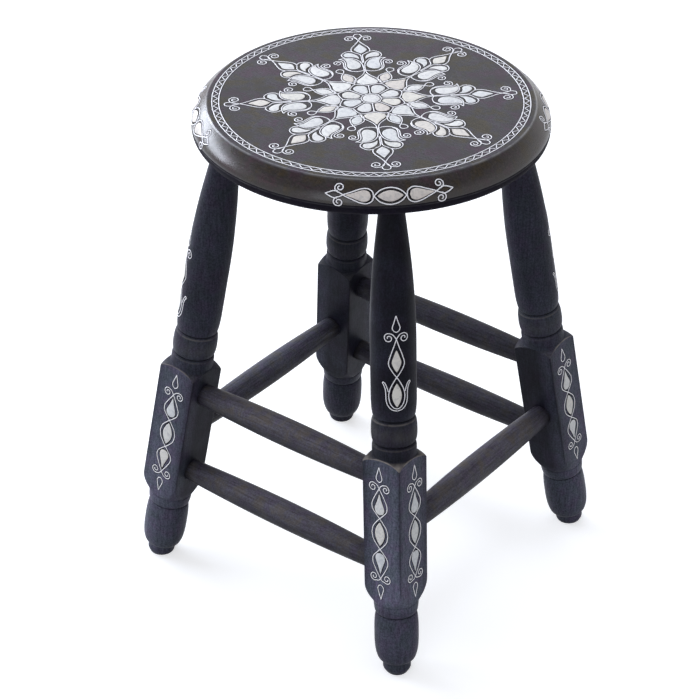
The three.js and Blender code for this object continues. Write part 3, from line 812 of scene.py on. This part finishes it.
# An ornament's almond and, one turned half round, its two drops; gives back their beds
def addAlmondAndDrops(name, ornament, place, node=None):
    drop = leafEdges(ornament["drop"])
    tint, almondSpread, dropSpread = ornament["tint"]
    bones = [(node or f"{name}_almond", leafEdges(ornament["almond"]), almondSpread, node)]
    for end, sense in zip(ornament["ends"], (1, -1)):
        bones.append((f"{name}_{end}_drop", [edge * sense for edge in drop], dropSpread, None))
    for piece, edges, spread, solid in bones:
        addBone(piece, edges, place, tint + spread * rng.random(), solid)
    return [boneBed(edges, place) for _, edges, _, _ in bones]


# Ornament on the seat's side, over each leg, centred on its almond. Knots in mm along and across; the angle
# round the seat is along over rolledOn. tint: 0 white to 1 warmest, and what chance adds to almond and drops.
sideInlay = {
    "rolledOn": 150.0, "tint": (0.75, 0.06, 0.08), "ends": ("left", "right"),
    "almond": [(-10.2, 0), (-5.5, 3.1), (0, 4.5), (5.5, 3.1), (10.2, 0)],
    "almondWire": [(-13.3, 0), (-8, 5.2), (0, 7.4), (8, 5.2), (13.3, 0)],
    "drop": [(16.2, 0), (17.6, 3.3), (21.6, 4.7), (26.5, 3.3), (31, 1.5), (35.8, 0)],
    "dropWire": [(13.5, 0), (14.6, 4), (18.8, 6.6), (24.5, 5.9), (31, 3.2), (36.5, 0.9), (39.4, -0.8),
                 (42.0, -2.2)],
    "point": [(42.6, 3.2), (47, 2.7), (52.6, 0)],
    "curl": ((41.4, -6.4), 4.5, 76, 1.45),
}


# Round the bones: the almond's outline, a strand that ends in a curl, and a point
def makeSideInlay(name, bearing):
    place = sidePlace(bearing)
    beds = addAlmondAndDrops(name, sideInlay, place, name)
    strand = np.vstack([sideInlay["dropWire"], spiral(*sideInlay["curl"], -1)])
    wires = mirrored([smoothCurve(sideInlay["almondWire"])])
    wires += bothEnds(mirrored([smoothCurve(strand), smoothCurve(sideInlay["point"])]))
    addWires(name, beds, [(curve, place) for curve in wires])


# Ornament on a block's outer face: a two-strand twist round three bones, spirals and a drop at each end.
# Knots in mm along the leg, from middle, and across. byLeg: shift from the corner, stretch of the twist, and
# how far the lower curls are drawn in.
blockInlay = {
    "middle": 153.0, "wireScale": 0.94, "tint": (0.4, 0.2, 0.2), "ends": ("upper", "lower"),
    "byLeg": {"leg_front_right": (1.9, 1.03, 1.7)}, "otherLegs": (0.4, 1.0, 0.0),
    "almond": [(-11.8, 0), (-6.2, 3.6), (0, 5.2), (6.2, 3.6), (11.8, 0)],
    "drop": [(20.2, 0), (21.8, 3.6), (26, 5.1), (31, 3.4), (36, 1.4), (41.2, 0)],
    "strand": [(0, 9.2), (6.5, 7.6), (12, 3.4), (15.6, 0), (19.3, -3.9), (24, -7.9), (29.5, -8.6), (35.5, -6),
               (41, -2.8), (45.4, 0), (48.3, 1.9)],
    "crossing": 45.4, "curl": ((46.1, 7.3), 4.8, -38, 1.42),
    "endDrop": [(53.4, 0), (54.8, 2.3), (57.8, 3.3), (62, 2.1), (68.8, 0)],
}


# The upper half and its mirror image below
def makeBlockInlay(name, sides, face):
    fromCorner, stretch, nearer = blockInlay["byLeg"].get(name, blockInlay["otherLegs"])
    place = blockPlace(sides, face, fromCorner)
    name = f"{name}_block_{face}"
    beds = addAlmondAndDrops(name, blockInlay, place)
    strand = np.array(blockInlay["strand"]) * [stretch, 1]
    curl = spiral(*blockInlay["curl"]) + [blockInlay["crossing"] * (stretch - 1), 0]
    upper = smoothCurve(np.vstack([strand, curl]))
    lower = smoothCurve(np.vstack([strand[:-1], strand[-1:] - [nearer / 2, 0], curl - [nearer, 0]]))
    wires = mirrored([upper, lower * [-1, 1]]) + bothEnds(mirrored([smoothCurve(blockInlay["endDrop"])]))
    addWires(name, beds, [(curve, place, blockInlay["wireScale"]) for curve in wires])


# Ornament on the front of the turned part: a drop, spirals, a lozenge, and an almond in a tulip cup.
# Knots in mm along the leg, from the floor end, and across. tint: a tone and its spread.
frontInlay = {
    "wireScale": 0.84, "tint": (0.5, 0.2),
    "lozenge": [(319.1, 0), (323.8, 2.6), (328.4, 4), (333.8, 2.3), (339.8, 0)],
    "almond": [(284.8, 0), (290.2, 2.9), (296, 4.1), (301.8, 2.8), (307.4, 0)],
    "strand": [(282.6, 0), (284, 3.2), (288.4, 6.2), (295.2, 7.5), (302.2, 6.2), (308.9, 3), (313.7, 0),
               (318.6, -3.5), (326.4, -7.3), (334.4, -5.6), (343.2, -2.5), (350.6, 0), (353.5, 1.8)],
    "curl": ((351.8, 6.9), 4.9, -38, 1.42),
    "cup": [(280.6, 0), (282, 4.9), (286.2, 8.6), (291.5, 10), (297, 10.2), (301.8, 10.7), (305.4, 12),
            (307.4, 13.3), (308.6, 12.6), (307.6, 11), (305, 9.6), (302.2, 8.6), (299.4, 7.8)],
    "endDrop": [(357.4, 0), (359, 2.5), (362, 3.5), (366.4, 2.1), (373.2, 0)],
}


# Half of it is drawn and mirrored across the leg's outward line
def makeFrontInlay(name, sides):
    place = balusterPlace(sides)
    tint, spread = frontInlay["tint"]
    beds = []
    for key in ("lozenge", "almond"):
        edges = leafEdges(frontInlay[key])
        addBone(f"{name}_{key}", edges, place, tint + spread * rng.random())
        beds.append(boneBed(edges, place))
    strand = np.vstack([frontInlay["strand"], spiral(*frontInlay["curl"])])
    halves = [smoothCurve(knots) for knots in (strand, frontInlay["cup"], frontInlay["endDrop"])]
    addWires(name, beds, [(curve, place, frontInlay["wireScale"]) for curve in mirrored(halves)])


makeStar()
makeBorder()
for name, own in legs.items():
    sides = own["sides"]
    makeSideInlay(name.replace("leg", "side_almond"), math.atan2(sides[1], sides[0]) + starTurn)
    for face in ("x", "y"):
        makeBlockInlay(name, sides, face)
    makeFrontInlay(f"{name}_front", sides)
print("inlay made")


# Camera at the photograph's angle, from a fit to points measured in it

# Angles in degrees, distance and target in mm, focal length and frame in pixels
view = {"azimuth": 37.5, "elevation": 33.39, "roll": 0.24, "distance": 2250.0, "focalPixels": 2350.3,
        "framePixels": 700, "target": (8.7, -41.7, 250.0)}


# It is set on the target, turned to its azimuth and elevation, moved straight back and rolled
def makeCamera():
    data = bpy.data.cameras.new("camera")
    data.sensor_width = 36.0
    data.lens = data.sensor_width * view["focalPixels"] / view["framePixels"]
    data.clip_start = 0.01
    camera = addObject("camera", data)
    camera.matrix_world = (Matrix.Translation(Vector(view["target"]) * mm)
                           @ Matrix.Rotation(math.radians(view["azimuth"]), 4, "Z")
                           @ Matrix.Rotation(math.radians(90 - view["elevation"]), 4, "X")
                           @ Matrix.Translation((0, 0, view["distance"] * mm))
                           @ Matrix.Rotation(math.radians(view["roll"]), 4, "Z"))
    bpy.context.scene.camera = camera


# Metres and watts; strengths make a colour render about as it is written. floorGlow rises over the distances
# in glowRise, and ceiling is how bright reflections show it.
studio = {
    "floorHalfWidth": 6.0, "floorColour": "#e9e9ea", "floorBounce": "#a2a2a4",
    "floorGlow": (0.56, 0.72), "glowRise": (0.5, 3.5),
    "skyColour": "#f3f5fa", "skyStrength": 0.4, "ceiling": 0.35, "lampColour": "#ebf2ff",
    "lamps": [  # name, watts, width and height in metres, position, aim
        ("overhead", 19.5, 1.6, 1.6, (-0.4, 0.5, 2.3), (0, 0, 0.5)),
        ("window left", 44.0, 1.9, 0.62, (-2.12, -0.2, 1.05), (0, 0, 0.48)),
        ("fill front", 14.0, 1.6, 1.6, (0.9, -2.3, 1.5), (0, 0, 0.3)),
    ],
}


# 1 for camera, glossy and transmission rays, which see the background white; 0 for the light on the object
def seenRays(tree):
    path, seen = addNode(tree, "LightPath"), 0.0
    for ray in ("Camera", "Glossy", "Transmission"):
        seen = addNode(tree, "Math", {"operation": "MAXIMUM"}, i0=seen, i1=path.outputs[f"Is {ray} Ray"])
    return seen


# A plain pale floor, white where no shadow falls: seen, it is diffuse plus a glow that rises with distance as
# the lamps' light falls off; for the light that it throws on the stool it is a darker diffuse
def makeFloor():
    material, tree, place = newMaterial("pale floor")
    bounce, plain = (addNode(tree, "BsdfDiffuse", {"Color": toLinear(studio[key])})
                     for key in ("floorBounce", "floorColour"))
    distance = addNode(tree, "VectorMath", {"operation": "LENGTH"}, i0=place).outputs["Value"]
    (near, far), (dimmest, brightest) = studio["glowRise"], studio["floorGlow"]
    rise = addNode(tree, "MapRange", {"From Min": near, "From Max": far, "To Min": dimmest,
                   "To Max": brightest}, Value=distance)
    glow = addNode(tree, "Emission", Strength=rise)
    lit = addNode(tree, "AddShader", i0=plain, i1=glow)
    both = addNode(tree, "MixShader", i0=seenRays(tree), i1=bounce, i2=lit)
    addNode(tree, "OutputMaterial", Surface=both)
    half = studio["floorHalfWidth"]
    mesh = bpy.data.meshes.new("floor")
    mesh.from_pydata([(-half, -half, 0), (half, -half, 0), (half, half, 0), (-half, half, 0)], [],
                     [(0, 1, 2, 3)])
    mesh.materials.append(material)
    plane = addObject("floor", mesh)


# Soft light from all round. Reflections show the white backdrop, and a dimmer ceiling overhead.
def makeWorld():
    world = bpy.data.worlds.new("studio")
    bpy.context.scene.world = world
    world.use_nodes = True
    tree = world.node_tree
    tree.nodes.clear()
    soft = addNode(tree, "Background", {"Color": toLinear(studio["skyColour"]),
                   "Strength": studio["skyStrength"]})
    direction = addNode(tree, "TexCoord").outputs["Generated"]
    height = addNode(tree, "SeparateXYZ", Vector=direction).outputs["Z"]
    room = addNode(tree, "ValToRGB", {"stops": [(0.25, 1.0), (0.7, studio["ceiling"])]}, Fac=height)
    camera = addNode(tree, "LightPath").outputs["Is Camera Ray"]
    shade = addNode(tree, "Mix", {"data_type": "RGBA"}, i0=camera, i6=room, i7=(1.0, 1.0, 1.0, 1.0))
    white = addNode(tree, "Background", Color=shade)
    both = addNode(tree, "MixShader", i0=seenRays(tree), i1=soft, i2=white)
    addNode(tree, "OutputWorld", Surface=both)


# Area lamps, each turned to look at its aim
def makeLamps():
    for name, watts, width, height, position, aim in studio["lamps"]:
        data = bpy.data.lights.new(name, "AREA")
        data.shape = "RECTANGLE"
        data.energy, data.size, data.size_y = watts, width, height
        data.color = toLinear(studio["lampColour"])[:3]
        lamp = addObject(name, data)
        lamp.location = position
        lamp.rotation_mode = "QUATERNION"
        lamp.rotation_quaternion = (Vector(position) - Vector(aim)).to_track_quat("Z", "Y")


makeCamera()
makeFloor()
makeWorld()
makeLamps()
bpy.context.scene.view_settings.view_transform = "Standard"
print("camera, floor and light set")
